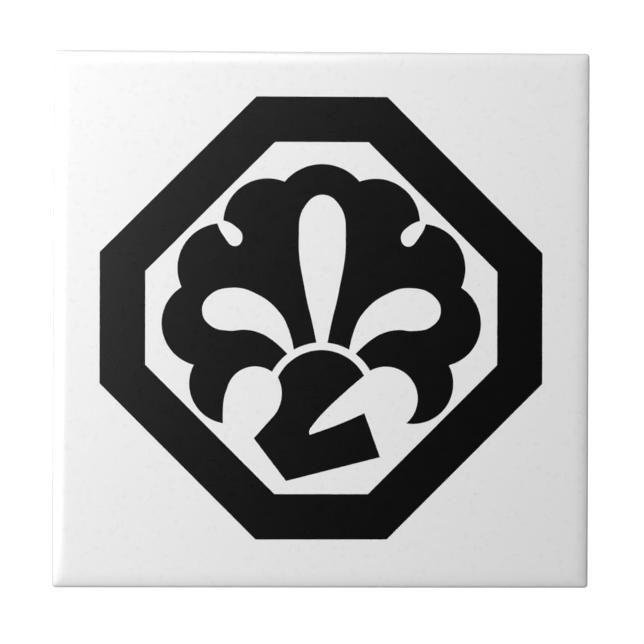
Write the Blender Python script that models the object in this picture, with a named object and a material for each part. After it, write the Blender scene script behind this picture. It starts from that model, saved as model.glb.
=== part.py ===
"""A square wall tile: one pressed slab with rolled front edges and a keyed back.

Metres, +Z up. The origin is the centre of the back, which beds on the wall: +Y runs out
of the back into the wall, and the face looks along -Y.
"""

import math

import bmesh
import bpy
from mathutils import Matrix, Vector

# The slab
SIDE = 0.108
THICKNESS = 0.0064
CORNER_RADIUS = 0.0007
CORNER_STEPS = 5

# The rolled front edge, a quarter ellipse
ROLL_WIDTH = 0.0032
ROLL_DEPTH = 0.0006
ROLL_STEPS = 12

# The back: a chamfered border round a field of square pads with drafted sides
BACK_CHAMFER = 0.0004
BORDER = 0.0066
PADS_PER_ROW = 9
GROOVE_WIDTH = 0.0030
GROOVE_DEPTH = 0.0008
GROOVE_DRAFT = 0.0003

# Cutters start this far outside the face that they cut
CLEARANCE = 0.001

GLAZE_WHITE = (0.83, 0.83, 0.82, 1.0)
GLAZE_ROUGHNESS = 0.12


def clear_scene():
    for found in list(bpy.data.objects):
        bpy.data.objects.remove(found)


def collection_named(name):
    made = bpy.data.collections.new(name)
    bpy.context.scene.collection.children.link(made)
    return made


def object_from(bm, name, collection):
    mesh = bpy.data.meshes.new(name)
    bm.to_mesh(mesh)
    bm.free()
    made = bpy.data.objects.new(name, mesh)
    collection.objects.link(made)
    return made


def box(size, centre):
    bm = bmesh.new()
    bmesh.ops.create_cube(bm, size=1.0)
    bmesh.ops.transform(bm, matrix=Matrix.LocRotScale(centre, None, size), verts=bm.verts)
    return bm


def round_corners(bm):
    """Rounds the four edges that run through the slab."""
    through = [edge for edge in bm.edges if abs((edge.verts[0].co - edge.verts[1].co).y) > 0]
    bmesh.ops.bevel(bm, geom=through, offset=CORNER_RADIUS, offset_type="OFFSET",
                    segments=CORNER_STEPS, profile=0.5, affect="EDGES")


def chamfer_back(bm):
    edges = [edge for edge in bm.edges if all(vert.co.y > -CLEARANCE for vert in edge.verts)]
    bmesh.ops.bevel(bm, geom=edges, offset=BACK_CHAMFER, offset_type="OFFSET",
                    segments=1, profile=0.5, affect="EDGES")


def roll_front(bm):
    """Draws the front face forward in steps, each smaller than the last, along a quarter ellipse."""
    front = min(bm.faces, key=lambda face: face.calc_center_median().y)
    half = SIDE / 2
    start = front.calc_center_median().y
    for step in range(1, ROLL_STEPS + 1):
        turn = math.pi / 2 * step / ROLL_STEPS
        inset = ROLL_WIDTH * (1 - math.cos(turn))
        ahead = start - ROLL_DEPTH * math.sin(turn)
        grown = bmesh.ops.extrude_face_region(bm, geom=[front])["geom"]
        bmesh.ops.delete(bm, geom=[front], context="FACES_ONLY")
        front = next(item for item in grown if isinstance(item, bmesh.types.BMFace))
        before = max(vert.co.x for vert in front.verts)
        ratio = (half - inset) / before
        for vert in front.verts:
            vert.co = Vector((vert.co.x * ratio, ahead, vert.co.z * ratio))


def slab(collection):
    depth = THICKNESS - ROLL_DEPTH
    bm = box((SIDE, depth, SIDE), (0, -depth / 2, 0))
    round_corners(bm)
    chamfer_back(bm)
    roll_front(bm)
    bmesh.ops.recalc_face_normals(bm, faces=bm.faces)
    return object_from(bm, "glazed_tile", collection)


def groove_cutter(name, place, upright, length, collection):
    """A bar with its ends and long sides drafted, so that the groove is narrower at its floor."""
    reach = GROOVE_DEPTH + CLEARANCE
    spread = GROOVE_DRAFT * CLEARANCE / GROOVE_DEPTH
    across, along = GROOVE_WIDTH + 2 * spread, length + 2 * spread
    size = (across, reach, along) if upright else (along, reach, across)
    centre = (place, CLEARANCE - reach / 2, 0) if upright else (0, CLEARANCE - reach / 2, place)
    bm = box(size, centre)
    pull = GROOVE_DRAFT + spread
    for vert in bm.verts:
        if vert.co.y < 0:
            vert.co.x += math.copysign(pull, centre[0] - vert.co.x)
            vert.co.z += math.copysign(pull, centre[2] - vert.co.z)
    made = object_from(bm, name, collection)
    made.display_type = "WIRE"
    made.hide_render = True
    return made


def key_back(tile, cutters):
    field = SIDE - 2 * BORDER
    pitch = (field - GROOVE_WIDTH) / PADS_PER_ROW
    for number in range(PADS_PER_ROW + 1):
        place = (number - PADS_PER_ROW / 2) * pitch
        groove_cutter(f"groove_upright_{number}", place, True, field, cutters)
        groove_cutter(f"groove_level_{number}", place, False, field, cutters)
    cut = tile.modifiers.new("keying_grooves", "BOOLEAN")
    cut.operation = "DIFFERENCE"
    cut.operand_type = "COLLECTION"
    cut.collection = cutters
    cut.solver = "EXACT"


def glaze_material():
    material = bpy.data.materials.new("white_glaze")
    material.use_nodes = True
    shader = material.node_tree.nodes["Principled BSDF"]
    shader.inputs["Base Color"].default_value = GLAZE_WHITE
    shader.inputs["Roughness"].default_value = GLAZE_ROUGHNESS
    shader.inputs["Metallic"].default_value = 0.0
    material.diffuse_color = GLAZE_WHITE
    return material


def shade(tile):
    tile.data.shade_smooth()
    tile.data.set_sharp_from_angle(angle=math.radians(25))


clear_scene()
parts = collection_named("printed_wall_tile")
cutters = collection_named("cutters")
tile = slab(parts)
tile.data.materials.append(glaze_material())
shade(tile)
key_back(tile, cutters)
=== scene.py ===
"""A square white glazed wall tile with a black leaf crest printed on its face."""

import math

import bmesh
import bpy
from mathutils import Matrix, Vector, noise


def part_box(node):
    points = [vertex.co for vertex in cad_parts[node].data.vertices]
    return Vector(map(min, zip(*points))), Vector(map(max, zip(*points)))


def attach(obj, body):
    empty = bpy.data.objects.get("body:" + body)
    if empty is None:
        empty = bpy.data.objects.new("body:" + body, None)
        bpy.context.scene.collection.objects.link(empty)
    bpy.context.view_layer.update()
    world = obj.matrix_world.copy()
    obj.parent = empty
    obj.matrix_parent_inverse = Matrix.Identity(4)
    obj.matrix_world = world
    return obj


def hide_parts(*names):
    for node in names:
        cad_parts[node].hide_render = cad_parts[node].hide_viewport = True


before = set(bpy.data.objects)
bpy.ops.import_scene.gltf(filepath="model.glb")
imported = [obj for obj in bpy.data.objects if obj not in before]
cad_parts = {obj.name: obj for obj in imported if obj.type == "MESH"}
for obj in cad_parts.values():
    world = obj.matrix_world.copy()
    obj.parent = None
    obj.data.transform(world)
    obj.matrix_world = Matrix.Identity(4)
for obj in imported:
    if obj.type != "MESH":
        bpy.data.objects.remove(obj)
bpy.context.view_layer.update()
MM = 0.001

# Camera ------------------------------------------------------------------------------
# A long lens almost square on to the face and level with its middle: a touch round to
# the left of it, and a hair out of plumb.

LENS = 100.0
SENSOR = 36.0
VIEW_WIDTH = 129.6 * MM
AIM = Vector((0.06 * MM, 0.0, -0.47 * MM))
ROUND_TO_LEFT = math.radians(1.25)
OUT_OF_PLUMB = math.radians(0.24)

low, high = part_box("glazed_tile")
standoff = VIEW_WIDTH * LENS / SENSOR
camera = bpy.data.objects.new("camera", bpy.data.cameras.new("camera"))
bpy.context.scene.collection.objects.link(camera)
camera.data.lens = LENS
camera.data.sensor_width = SENSOR
camera.data.clip_start = 0.01
camera.matrix_world = (
    Matrix.Translation(AIM + Vector((0, low.y, 0)))
    @ Matrix.Rotation(-ROUND_TO_LEFT, 4, "Z")
    @ Matrix.Translation((0, -standoff, 0))
    @ Matrix.Rotation(math.pi / 2, 4, "X")
    @ Matrix.Rotation(OUT_OF_PLUMB, 4, "Z")
)
bpy.context.scene.camera = camera

# The slab ----------------------------------------------------------------------------
# One slab of pale clay, pressed dry in a steel die and fired. Its four corners are
# hardly rounded, and the die breaks the sharp edge round its back.

HALF = high.x
THICKNESS = high.y - low.y
GLAZE_COAT = 0.16 * MM
CLAY_HALF = HALF - GLAZE_COAT
CORNER_RADIUS = 0.7 * MM
CORNER_STEPS = 8
SIDE_CUTS = 60
GLAZE_LINE = 2.1 * MM
BACK_BREAK = 0.4 * MM
BREAK_STEPS = 3
# A face looks straight forward or back when its normal runs this far along Y
SQUARE_ON = 0.9


def select_only(*things):
    bpy.ops.object.select_all(action="DESELECT")
    for thing in things:
        thing.select_set(True)
    bpy.context.view_layer.objects.active = things[0]


def pick(thing, kind, test):
    """Selects, in edit mode, just the faces or the edges that pass the test."""
    bpy.ops.mesh.select_mode(type=kind)
    bpy.ops.mesh.select_all(action="DESELECT")
    bm = bmesh.from_edit_mesh(thing.data)
    for item in bm.faces if kind == "FACE" else bm.edges:
        item.select_set(test(item))
    bm.select_flush_mode()
    bmesh.update_edit_mesh(thing.data)


def middle(edge):
    return (edge.verts[0].co + edge.verts[1].co) / 2


def runs_through(edge):
    """True for an edge that runs from front to back."""
    return abs(edge.verts[1].co.y - edge.verts[0].co.y) > MM


def rims_the_back(edge):
    """True for an edge that parts the flat back from a side."""
    flats = sum(face.normal.y > SQUARE_ON for face in edge.link_faces)
    return flats == 1


bpy.ops.object.select_all(action="DESELECT")
bpy.ops.mesh.primitive_cube_add(size=1, location=(0, -GLAZE_LINE / 2, 0))
tile = bpy.context.object
tile.name = "printed_tile"
tile.data.name = "printed_tile"
bpy.ops.transform.resize(value=(2 * CLAY_HALF, GLAZE_LINE, 2 * CLAY_HALF))
bpy.ops.object.transform_apply(location=True, rotation=False, scale=True)
bpy.ops.object.mode_set(mode="EDIT")
pick(tile, "EDGE", runs_through)
bpy.ops.mesh.bevel(offset=CORNER_RADIUS, segments=CORNER_STEPS, affect="EDGES")
pick(tile, "EDGE", lambda edge: edge.calc_length() > HALF)
bpy.ops.mesh.subdivide(number_cuts=SIDE_CUTS)
pick(tile, "EDGE", rims_the_back)
bpy.ops.mesh.bevel(offset=BACK_BREAK, segments=BREAK_STEPS, affect="EDGES")

# The places of the two colours and the result among the sockets of a colour mix
MIX_FIRST = 6
MIX_SECOND = 7
MIX_RESULT = 2


def grain(tree, size, detail=3.0):
    """Soft random patches of about the given size, as a value from 0 to 1."""
    place = tree.nodes.new("ShaderNodeTexCoord")
    cloud = tree.nodes.new("ShaderNodeTexNoise")
    cloud.inputs["Scale"].default_value = 1 / size
    cloud.inputs["Detail"].default_value = detail
    tree.links.new(place.outputs["Object"], cloud.inputs["Vector"])
    return cloud.outputs["Fac"]


def depth_in_tile(tree):
    """How far behind or in front of the back's plane a point lies, along Y."""
    place = tree.nodes.new("ShaderNodeTexCoord")
    split = tree.nodes.new("ShaderNodeSeparateXYZ")
    tree.links.new(place.outputs["Object"], split.inputs["Vector"])
    return split.outputs["Y"]


def graded(tree, value, start, end, first=0.0, last=1.0):
    """A value that goes from first to last as the given one goes from start to end."""
    ramp = tree.nodes.new("ShaderNodeMapRange")
    tree.links.new(value, ramp.inputs["Value"])
    ramp.inputs["From Min"].default_value = start
    ramp.inputs["From Max"].default_value = end
    ramp.inputs["To Min"].default_value = first
    ramp.inputs["To Max"].default_value = last
    return ramp.outputs["Result"]


def worked(tree, operation, first, second):
    """Two values, or a value and a number, put through one sum."""
    sum_of = tree.nodes.new("ShaderNodeMath")
    sum_of.operation = operation
    for socket, value in zip(sum_of.inputs, (first, second)):
        if isinstance(value, float):
            socket.default_value = value
        else:
            tree.links.new(value, socket)
    return sum_of.outputs["Value"]


def tinted(tree, amount, base, tint):
    """The base colour, carried towards the tint by the amount."""
    mix = tree.nodes.new("ShaderNodeMix")
    mix.data_type = "RGBA"
    tree.links.new(amount, mix.inputs["Factor"])
    for number, colour in ((MIX_FIRST, base), (MIX_SECOND, tint)):
        if isinstance(colour, tuple):
            mix.inputs[number].default_value = (*colour, 1.0)
        else:
            tree.links.new(colour, mix.inputs[number])
    return mix.outputs[MIX_RESULT]


def relief(tree, shader, height, depth):
    """Dents the surface, and its gloss, by the height times the depth."""
    bump = tree.nodes.new("ShaderNodeBump")
    bump.inputs["Distance"].default_value = depth
    tree.links.new(height, bump.inputs["Height"])
    tree.links.new(bump.outputs["Normal"], shader.inputs["Normal"])
    tree.links.new(bump.outputs["Normal"], shader.inputs["Coat Normal"])


def new_finish(name):
    """A finish on the tile, with the tree of nodes that makes it and its shader."""
    material = bpy.data.materials.new(name)
    material.use_nodes = True
    tile.data.materials.append(material)
    return material.node_tree, material.node_tree.nodes["Principled BSDF"]


CLAY = (0.755, 0.700, 0.610)
CLAY_STAIN = (0.650, 0.585, 0.490)
CLAY_DUST = (0.830, 0.795, 0.730)
IRON_SPECK = (0.300, 0.220, 0.150)

tree, shader = new_finish("tile_clay")
stained = graded(tree, grain(tree, 26 * MM), 0.45, 0.70, 0.0, 0.55)
colour = tinted(tree, stained, CLAY, CLAY_STAIN)
dusty = graded(tree, grain(tree, 1.1 * MM, 4.0), 0.40, 0.70, 0.0, 0.60)
colour = tinted(tree, dusty, colour, CLAY_DUST)
specked = graded(tree, grain(tree, 0.9 * MM, 1.0), 0.72, 0.78, 0.0, 0.75)
colour = tinted(tree, specked, colour, IRON_SPECK)
# Paler on the flat back and the pad tops, darker down in the grooves and on the bare sides
paler_up_high = graded(tree, depth_in_tile(tree), -0.5 * MM, -0.05 * MM, 0.0, 0.35)
colour = tinted(tree, paler_up_high, colour, CLAY_DUST)
tree.links.new(colour, shader.inputs["Base Color"])
matt = graded(tree, grain(tree, 3.0 * MM), 0.3, 0.7, 0.82, 0.94)
tree.links.new(matt, shader.inputs["Roughness"])
shader.inputs["Specular IOR Level"].default_value = 0.35
relief(tree, shader, grain(tree, 0.55 * MM, 5.0), 0.05 * MM)

# The keyed back ----------------------------------------------------------------------
# The die leaves a plain border round nine rows of nine square pads, parted by shallow
# drafted grooves that give the wall adhesive its hold. It stays bare clay.

BORDER = 6.6 * MM
PADS_PER_ROW = 9
GROOVE_WIDTH = 3.0 * MM
GROOVE_DEPTH = 0.8 * MM
GROOVE_DRAFT = 0.3 * MM
PAD_EDGE = 0.14 * MM
PAD_EDGE_STEPS = 2
FIELD = 2 * (HALF - BORDER)
PITCH = (FIELD - GROOVE_WIDTH) / PADS_PER_ROW
GROOVES = [(number - PADS_PER_ROW / 2) * PITCH for number in range(PADS_PER_ROW + 1)]


def on_back(face):
    return face.normal.y > SQUARE_ON and face.calc_center_median().y > -MM / 100


def in_groove(face):
    """True for a cell of the flat back that a groove will take."""
    centre = face.calc_center_median()
    inside = max(abs(centre.x), abs(centre.z)) < FIELD / 2
    crossed = any(
        min(abs(centre.x - place), abs(centre.z - place)) < GROOVE_WIDTH / 2 for place in GROOVES
    )
    return on_back(face) and inside and crossed


def turns_into_groove(edge):
    """True for the top and bottom edges of the drafted groove walls."""
    tilts = sorted(round(face.normal.y, 3) for face in edge.link_faces)
    wall_and_flat = len(tilts) == 2 and 0 < tilts[0] < SQUARE_ON and tilts[1] > 0.99
    return wall_and_flat and max(abs(middle(edge).x), abs(middle(edge).z)) < FIELD / 2 + MM / 10


for place in GROOVES:
    for side in (-1, 1):
        line = place + side * GROOVE_WIDTH / 2
        for across in (Vector((1, 0, 0)), Vector((0, 0, 1))):
            pick(tile, "FACE", on_back)
            bpy.ops.mesh.bisect(plane_co=across * line, plane_no=across, threshold=MM / 1000)
pick(tile, "FACE", in_groove)
bpy.ops.mesh.inset(thickness=GROOVE_DRAFT, depth=-GROOVE_DEPTH, use_even_offset=True)
pick(tile, "EDGE", turns_into_groove)
bpy.ops.mesh.bevel(offset=PAD_EDGE, segments=PAD_EDGE_STEPS, affect="EDGES", clamp_overlap=True)

# The glazed edge ---------------------------------------------------------------------
# The glaze runs over the softly rolled front edges and stops part-way down the sides in
# a rounded lip that wanders a little, where the dipped tile was wiped before firing.

LIP_STEPS = 4
GLAZE_WANDER = 0.32 * MM
ROLL_WIDTH = 3.2 * MM
ROLL_DEPTH = 0.6 * MM
ROLL_STEPS = 16
FLAT_RING = 0.3 * MM

rings = []
for step in range(1, LIP_STEPS + 1):
    turn = math.pi / 2 * step / LIP_STEPS
    depth = GLAZE_LINE + GLAZE_COAT * (1 - math.cos(turn))
    rings.append((-depth, CLAY_HALF + GLAZE_COAT * math.sin(turn)))
shoulder = THICKNESS - ROLL_DEPTH
rings.append((-(GLAZE_LINE + shoulder) / 2, HALF))
for step in range(ROLL_STEPS + 1):
    turn = math.pi / 2 * step / ROLL_STEPS
    depth = shoulder + ROLL_DEPTH * math.sin(turn)
    rings.append((-depth, HALF - ROLL_WIDTH * (1 - math.cos(turn))))
rings.append((-THICKNESS, HALF - ROLL_WIDTH - FLAT_RING))

pick(tile, "FACE", lambda face: face.normal.y < -SQUARE_ON)
y = -GLAZE_LINE
half = CLAY_HALF
for next_y, next_half in rings:
    bpy.ops.mesh.extrude_region_move(TRANSFORM_OT_translate={"value": (0, next_y - y, 0)})
    ratio = next_half / half
    bpy.ops.transform.resize(value=(ratio, 1, ratio), center_override=(0, next_y, 0))
    y = next_y
    half = next_half
bpy.ops.object.mode_set(mode="OBJECT")

# Waves to the metre in the wandering lip
WIDE_WANDER = 90
FINE_WANDER = 260
FINE_SHARE = 0.5
for vert in tile.data.vertices:
    near = 1 - abs(vert.co.y + GLAZE_LINE + GLAZE_COAT / 2) / GLAZE_LINE
    if near > 0 and max(abs(vert.co.x), abs(vert.co.z)) > CLAY_HALF - GLAZE_COAT:
        round_edge = Vector((vert.co.x, 0, vert.co.z))
        wander = noise.noise(round_edge * WIDE_WANDER)
        wander += FINE_SHARE * noise.noise(round_edge * FINE_WANDER)
        vert.co.y += GLAZE_WANDER * wander * min(1.0, 1.4 * near)


def from_middle(tree):
    """How far out a point lies across the tile, to the nearer pair of sides."""
    place = tree.nodes.new("ShaderNodeTexCoord")
    split = tree.nodes.new("ShaderNodeSeparateXYZ")
    tree.links.new(place.outputs["Object"], split.inputs["Vector"])
    across = worked(tree, "ABSOLUTE", split.outputs["X"], 0.0)
    upward = worked(tree, "ABSOLUTE", split.outputs["Z"], 0.0)
    return worked(tree, "MAXIMUM", across, upward)


def pin_specks(tree, spacing, radius, share):
    """Round specks, one to each cell of the spacing, in the given share of the cells."""
    place = tree.nodes.new("ShaderNodeTexCoord")
    split = tree.nodes.new("ShaderNodeSeparateXYZ")
    flat = tree.nodes.new("ShaderNodeCombineXYZ")
    tree.links.new(place.outputs["Object"], split.inputs["Vector"])
    tree.links.new(split.outputs["X"], flat.inputs["X"])
    tree.links.new(split.outputs["Z"], flat.inputs["Y"])
    cells = tree.nodes.new("ShaderNodeTexVoronoi")
    cells.voronoi_dimensions = "2D"
    cells.inputs["Scale"].default_value = 1 / spacing
    tree.links.new(flat.outputs["Vector"], cells.inputs["Vector"])
    size = radius / spacing
    near = graded(tree, cells.outputs["Distance"], 0.6 * size, 1.2 * size, 1.0, 0.0)
    draw = tree.nodes.new("ShaderNodeSeparateColor")
    tree.links.new(cells.outputs["Color"], draw.inputs["Color"])
    taken = worked(tree, "LESS_THAN", draw.outputs["Red"], share)
    return worked(tree, "MULTIPLY", near, taken)


# Past the first of these distances from the middle the glaze thins and dulls, down the sides
WIPED_SIDE = (HALF - 0.30 * MM, HALF - 0.02 * MM)
WIPED_DULLING = 0.22
SATIN_LEAST = 0.268
SATIN_MOST = 0.288
CLEAR_SKIN = 0.35
SKIN_ROUGHNESS = 0.06
SPECK_SPACING = 15 * MM


def fire_gloss(tree, shader):
    """The one gloss over glaze and print: a satin body under a thin clear skin."""
    cloudy = graded(tree, grain(tree, 1.4 * MM), 0.20, 0.80, SATIN_LEAST, SATIN_MOST)
    wiped = graded(tree, from_middle(tree), *WIPED_SIDE, 0.0, WIPED_DULLING)
    tree.links.new(worked(tree, "ADD", cloudy, wiped), shader.inputs["Roughness"])
    shader.inputs["Coat Weight"].default_value = CLEAR_SKIN
    shader.inputs["Coat Roughness"].default_value = SKIN_ROUGHNESS
    relief(tree, shader, grain(tree, 5.0 * MM, 2.0), 0.006 * MM)


WHITE = (0.852, 0.852, 0.850)
WHITE_CLOUD = (0.830, 0.830, 0.827)
THIN_GLAZE_AND_EDGE_SHADE = (0.655, 0.650, 0.638)
SHADED_SIDE_GLAZE = (0.720, 0.711, 0.685)
DULL_SPECK = (0.560, 0.555, 0.540)

tree, shader = new_finish("tile_glaze")
clouded = graded(tree, grain(tree, 24 * MM), 0.30, 0.70, 0.0, 0.35)
colour = tinted(tree, clouded, WHITE, WHITE_CLOUD)
mottled = graded(tree, grain(tree, 0.7 * MM, 2.0), 0.25, 0.75, 0.0, 0.6)
colour = tinted(tree, mottled, colour, WHITE_CLOUD)
outward = graded(tree, from_middle(tree), HALF - 0.55 * MM, HALF - 0.15 * MM)
on_arris = graded(tree, depth_in_tile(tree), -shoulder + 0.9 * MM, -shoulder + 0.1 * MM)
# Painted shade: the front arris is tinted grey, partly for the thinner glaze there and partly as
# shade along the tile's outer edge
colour = tinted(tree, worked(tree, "MULTIPLY", outward, on_arris), colour, THIN_GLAZE_AND_EDGE_SHADE)
down_side = graded(tree, from_middle(tree), *WIPED_SIDE)
# Painted shade: the sides are tinted a darker warm grey, partly for the thin wiped glaze and
# partly as shade that keeps the brightly lit sides from going white
colour = tinted(tree, down_side, colour, SHADED_SIDE_GLAZE)
at_lip = graded(tree, depth_in_tile(tree), -GLAZE_LINE - 0.7 * MM, -GLAZE_LINE + 0.2 * MM)
colour = tinted(tree, at_lip, colour, THIN_GLAZE_AND_EDGE_SHADE)
speckled = pin_specks(tree, SPECK_SPACING, 0.13 * MM, 0.12)
colour = tinted(tree, speckled, colour, DULL_SPECK)
tree.links.new(colour, shader.inputs["Base Color"])
fire_gloss(tree, shader)

GLAZED = tile.data.materials.find("tile_glaze")
for face in tile.data.polygons:
    if face.center.y < -GLAZE_LINE + 0.5 * MM and face.normal.y < 0.5:
        face.material_index = GLAZED

# The crest ---------------------------------------------------------------------------
# Black ceramic ink, laid on through a cut stencil and fired into the glaze, so it has
# an edge but no thickness: a cut-corner frame round a scalloped leaf with openings in
# it, above a short bent stem.

CREST_CENTRE = Vector((-0.03 * MM, -THICKNESS, 0.315 * MM))
CREST_TURN = math.radians(0.11)
STENCIL = 2.0 * MM
FRAME_HALF = 44.57 * MM
FRAME_CUT = 31.38 * MM
FRAME_BAND = 9.15 * MM
ROUND_STEPS = 160
CURVE_STEPS = 20


def disc(x, z, radius, thickness=STENCIL):
    """A round plate laid over the face, its place in millimetres from the crest's centre."""
    bpy.ops.object.select_all(action="DESELECT")
    bpy.ops.mesh.primitive_cylinder_add(
        vertices=ROUND_STEPS,
        radius=radius * MM,
        depth=thickness,
        location=CREST_CENTRE + Vector((x, 0, z)) * MM,
        rotation=(math.pi / 2, 0, 0),
    )
    return bpy.context.object


def plate(knots, mirror=1, thickness=2 * STENCIL):
    """A plate whose edge bends smoothly through the knots, or turns at those marked sharp."""
    curve = bpy.data.curves.new("edge", "CURVE")
    curve.dimensions = "2D"
    curve.fill_mode = "BOTH"
    curve.extrude = thickness / 2
    curve.resolution_u = CURVE_STEPS
    spline = curve.splines.new("BEZIER")
    spline.bezier_points.add(len(knots) - 1)
    spline.use_cyclic_u = True
    for point, (x, z, *sharp) in zip(spline.bezier_points, knots):
        point.co = Vector((mirror * x, z, 0)) * MM
        point.handle_left_type = point.handle_right_type = "VECTOR" if sharp else "AUTO"
    made = bpy.data.objects.new("plate", curve)
    bpy.context.scene.collection.objects.link(made)
    made.location = CREST_CENTRE
    made.rotation_euler = (math.pi / 2, 0, 0)
    select_only(made)
    bpy.ops.object.convert(target="MESH")
    bpy.ops.object.mode_set(mode="EDIT")
    bpy.ops.mesh.select_all(action="SELECT")
    bpy.ops.mesh.remove_doubles(threshold=MM / 10000)
    bpy.ops.mesh.normals_make_consistent(inside=False)
    bpy.ops.object.mode_set(mode="OBJECT")
    return made


def combine(base, others, operation):
    """Joins the other plates to the base, or cuts them out of it, and throws them away."""
    group = bpy.data.collections.new("group")
    for other in others:
        group.objects.link(other)
    change = base.modifiers.new("combine", "BOOLEAN")
    change.operation = operation
    change.operand_type = "COLLECTION"
    change.collection = group
    change.solver = "EXACT"
    select_only(base)
    bpy.ops.object.modifier_apply(modifier="combine")
    for other in others:
        bpy.data.objects.remove(other)
    bpy.data.collections.remove(group)


# Millimetres from the crest's centre, across and up
SHARP = True
LEAF_BODY = (0.0, 2.0, 20.0)
TOP_LOBE = (0.08, 21.2, 9.8)
SIDE_LOBES = ((10.85, 19.15, 8.95), (19.95, 10.0, 9.05), (23.5, -1.1, 8.65), (18.5, -13.2, 8.1))
CENTRE_DROP = (
    (0.17, 24.8), (3.66, 22.5), (4.82, 15.9), (3.42, 5.2), (1.94, -1.2), (0.6, -8.0, SHARP),
    (-0.4, -8.0, SHARP), (-1.8, -1.2), (-3.27, 5.2), (-4.6, 15.9), (-3.4, 22.5),
)
SIDE_DROP = (
    (-5.07, -9.0, SHARP), (-6.68, -2.2), (-8.4, 1.03), (-12.9, 4.72), (-18.0, 6.05),
    (-22.7, 4.35), (-24.0, 1.2), (-22.2, -1.6), (-18.6, -2.55), (-15.4, -2.36),
    (-12.6, -2.92), (-10.0, -4.35),
)
NOTCH = ((-21.4, 20.0, SHARP), (-17.8, 18.7), (-15.95, 16.2), (-17.3, 14.45), (-19.8, 16.6))
LEFT_HOLLOW = (-13.35, -15.5, 5.75)
RIGHT_HOLLOW = (12.97, -16.2, 6.43)
SKIRT = (
    (-18.55, -13.3, SHARP), (-19.35, -15.3), (-19.7, -17.2), (-19.8, -19.3),
    (-19.75, -22.5, SHARP), (-7.0, -22.5, SHARP), (-7.6, -15.0, SHARP),
)
GAP = (0.0, -16.18, 11.27)
DOME = (0.0, -16.18, 9.76)
BELOW_DOME = (
    (-15, -16.5, SHARP), (15, -16.5, SHARP), (15, -40, SHARP), (-15, -40, SHARP),
)
STEM = (
    (-7.5, -14.5, SHARP), (-9.4, -19.45, SHARP), (-13.6, -24.2, SHARP), (-7.1, -32.8, SHARP),
    (11.85, -28.0, SHARP), (8.72, -19.26, SHARP), (9.0, -15.5, SHARP),
)
STEM_HOLLOW = (-15.05, -15.2, 7.07)
BLADE = (
    (13.4, -7.6, SHARP), (8.68, -11.5), (4.65, -15.0), (1.27, -18.15), (-1.48, -21.25),
    (-2.45, -22.85), (-2.3, -23.5, SHARP), (3.74, -21.28), (8.6, -19.15), (14.0, -16.8, SHARP),
)

bpy.ops.object.select_all(action="DESELECT")
bpy.ops.mesh.primitive_plane_add(
    size=2 * FRAME_HALF,
    location=CREST_CENTRE + Vector((0, -STENCIL / 2, 0)),
    rotation=(math.pi / 2, 0, 0),
)
stencil = bpy.context.object
bpy.ops.object.mode_set(mode="EDIT")
bpy.ops.mesh.select_all(action="SELECT")
bpy.ops.mesh.bevel(offset=FRAME_CUT, segments=1, affect="VERTICES")
bpy.ops.mesh.select_all(action="SELECT")
bpy.ops.mesh.inset(thickness=FRAME_BAND, use_even_offset=True)
bpy.ops.mesh.delete(type="FACE")
bpy.ops.mesh.select_all(action="SELECT")
bpy.ops.mesh.extrude_region_move(TRANSFORM_OT_translate={"value": (0, STENCIL, 0)})
bpy.ops.mesh.select_all(action="SELECT")
bpy.ops.mesh.normals_make_consistent(inside=False)
bpy.ops.object.mode_set(mode="OBJECT")

leaf = disc(*LEAF_BODY)
lobes = [disc(*TOP_LOBE)]
for x, z, radius in SIDE_LOBES:
    lobes += [disc(-x, z, radius), disc(x, z, radius)]
combine(leaf, lobes, "UNION")
openings = [disc(*hollow, 2 * STENCIL) for hollow in (GAP, LEFT_HOLLOW, RIGHT_HOLLOW)]
openings += [plate(CENTRE_DROP), plate(SKIRT)]
for mirror in (1, -1):
    openings += [plate(SIDE_DROP, mirror), plate(NOTCH, mirror)]
combine(leaf, openings, "DIFFERENCE")

dome = disc(*DOME)
combine(dome, [plate(BELOW_DOME)], "DIFFERENCE")
stem = plate(STEM, thickness=STENCIL)
combine(stem, [dome], "UNION")
combine(stem, [disc(*STEM_HOLLOW, 2 * STENCIL), plate(BLADE)], "DIFFERENCE")

# The stencil was laid a hair out of square with the tile
select_only(stencil, leaf, stem)
bpy.ops.object.join()
bpy.ops.transform.rotate(
    value=CREST_TURN, orient_axis="Y", orient_type="GLOBAL", center_override=CREST_CENTRE
)
bpy.ops.object.transform_apply(location=True, rotation=True, scale=True)
pattern = stencil.copy()
pattern.data = stencil.data.copy()
bpy.context.scene.collection.objects.link(pattern)

# The stencil's outline is cut into the face, and then its own faces are thrown away
scrap = bpy.data.materials.new("scrap")
stencil.data.materials.clear()
stencil.data.materials.append(scrap)
select_only(tile, stencil)
bpy.ops.object.join()
SCRAP = tile.data.materials.find("scrap")
bpy.ops.object.mode_set(mode="EDIT")
pick(tile, "FACE", lambda face: face.material_index == SCRAP)
bpy.ops.mesh.intersect(mode="SELECT_UNSELECT", separate_mode="NONE", solver="EXACT")
pick(tile, "FACE", lambda face: face.material_index == SCRAP)
bpy.ops.mesh.delete(type="FACE")


def on_face(face, centre):
    return face.normal.y < -0.999 and centre.y < -THICKNESS + MM / 1000


pick(tile, "FACE", lambda face: on_face(face, face.calc_center_median()))
bpy.ops.mesh.quads_convert_to_tris()
bpy.ops.object.mode_set(mode="OBJECT")
tile.data.materials.pop(index=SCRAP)
bpy.data.materials.remove(scrap)

BLACK = (0.0006, 0.0006, 0.0006)
BLACK_THIN = (0.0014, 0.0014, 0.0014)
PALE_SPECK = (0.300, 0.300, 0.295)

tree, shader = new_finish("tile_print")
thin = graded(tree, grain(tree, 2.5 * MM, 3.0), 0.40, 0.80)
colour = tinted(tree, thin, BLACK, BLACK_THIN)
speckled = pin_specks(tree, SPECK_SPACING, 0.15 * MM, 0.10)
colour = tinted(tree, speckled, colour, PALE_SPECK)
tree.links.new(colour, shader.inputs["Base Color"])
fire_gloss(tree, shader)

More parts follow.
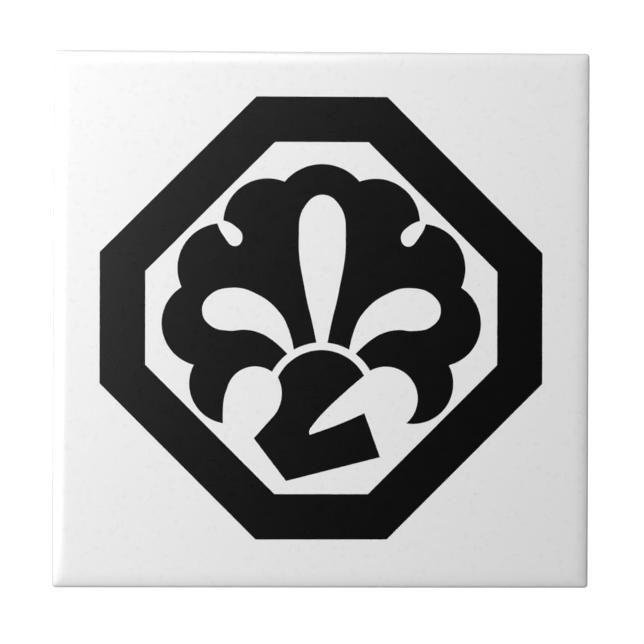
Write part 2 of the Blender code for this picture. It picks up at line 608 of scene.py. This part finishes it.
PRINTED = tile.data.materials.find("tile_print")
bpy.context.view_layer.update()
for face in tile.data.polygons:
    if on_face(face, face.center):
        inside = pattern.ray_cast(face.center, Vector((0, -1, 0)))[0]
        face.material_index = PRINTED if inside else GLAZED
bpy.data.objects.remove(pattern)

select_only(tile)
bpy.ops.object.shade_smooth_by_angle(angle=math.radians(30))
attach(tile, "root")
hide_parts("glazed_tile")

# Floor and lights --------------------------------------------------------------------
# A pale round floor well below the tile, lit from within like a light table, a white
# surround, a large soft light to the left of the face, a smaller one above it, and one
# behind that reaches only the back and the sides.

FLOOR_DROP = 0.25
FLOOR_RADIUS = 0.90
FLOOR_GLOW = 0.68
FLOOR_ROUGHNESS = 0.9
PALE = (0.85, 0.85, 0.85, 1)
WHITE_LIGHT = (1, 1, 1, 1)

bpy.ops.object.select_all(action="DESELECT")
bpy.ops.mesh.primitive_circle_add(
    vertices=128, radius=FLOOR_RADIUS, fill_type="NGON", location=(0, 0, -FLOOR_DROP)
)
floor = bpy.context.object
floor.name = "floor"
pale = bpy.data.materials.new("pale_floor")
pale.use_nodes = True
shader = pale.node_tree.nodes["Principled BSDF"]
shader.inputs["Base Color"].default_value = PALE
shader.inputs["Roughness"].default_value = FLOOR_ROUGHNESS
shader.inputs["Emission Color"].default_value = WHITE_LIGHT
shader.inputs["Emission Strength"].default_value = FLOOR_GLOW
floor.data.materials.append(pale)
floor.visible_diffuse = False
floor.visible_glossy = False

# The surround looks white, and lights the tile brightly from behind and hardly from in front
world = bpy.data.worlds.new("studio")
bpy.context.scene.world = world
world.use_nodes = True
tree = world.node_tree
direction = tree.nodes.new("ShaderNodeTexCoord")
split = tree.nodes.new("ShaderNodeSeparateXYZ")
tree.links.new(direction.outputs["Generated"], split.inputs["Vector"])
shed = graded(tree, split.outputs["Y"], 0.3, 1.0, 0.01, 1.1)
seen = tree.nodes.new("ShaderNodeLightPath").outputs["Is Camera Ray"]
tree.links.new(worked(tree, "MAXIMUM", shed, seen), tree.nodes["Background"].inputs["Strength"])
tree.nodes["Background"].inputs["Color"].default_value = WHITE_LIGHT


def soft_light(name, place, size, power):
    lamp = bpy.data.lights.new(name, "AREA")
    lamp.shape = "RECTANGLE"
    lamp.size, lamp.size_y = size
    lamp.energy = power
    made = bpy.data.objects.new(name, lamp)
    bpy.context.scene.collection.objects.link(made)
    made.location = place
    made.rotation_euler = (-Vector(place)).to_track_quat("-Z", "Y").to_euler()


soft_light("key_left", (-0.355, -0.42, 0.14), (0.50, 0.56), 4.20)
soft_light("top", (-0.14, -0.47, 0.30), (0.36, 0.22), 0.80)
soft_light("behind_right", (0.50, 0.30, 0.36), (0.50, 0.50), 4.6)
bpy.context.scene.view_settings.view_transform = "Standard"

bpy.context.view_layer.update()
